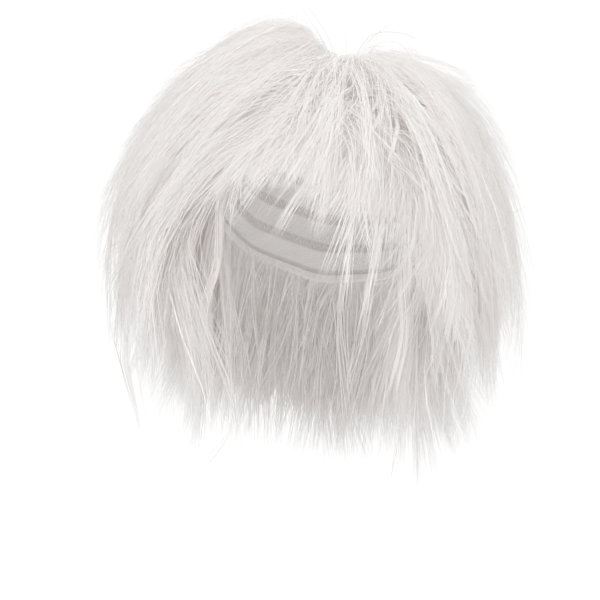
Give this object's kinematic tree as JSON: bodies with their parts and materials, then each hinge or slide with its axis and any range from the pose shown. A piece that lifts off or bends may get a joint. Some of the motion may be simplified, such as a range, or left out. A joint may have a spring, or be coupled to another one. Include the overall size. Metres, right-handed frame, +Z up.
{
  "type": "clown wig",
  "caption": "Shaggy white wig of long straight synthetic fibre in layered rows on a close-fitting cap, with a swept fringe, a face opening and hair falling past the jaw.",
  "frame": {"origin": "inside of the cap's crown, where the wig sits on top of the head", "axes": "+Z up out of the top of the head, -Y the way the wearer faces, +X the wearer's left"},
  "size_m": [0.2756, 0.2592, 0.2954],
  "materials": {
    "cap_knit": "matt stretch knit with an elastic hem",
    "fibre": "soft sheen of fine straight synthetic fibre"
  },
  "bodies": {
    "root": {"cap": "cap_knit", "hair_nape": "fibre", "hair_lower": "fibre", "hair_middle": "fibre", "hair_upper": "fibre", "fringe": "fibre", "hair_crown": "fibre"}
  },
  "joints": []
}
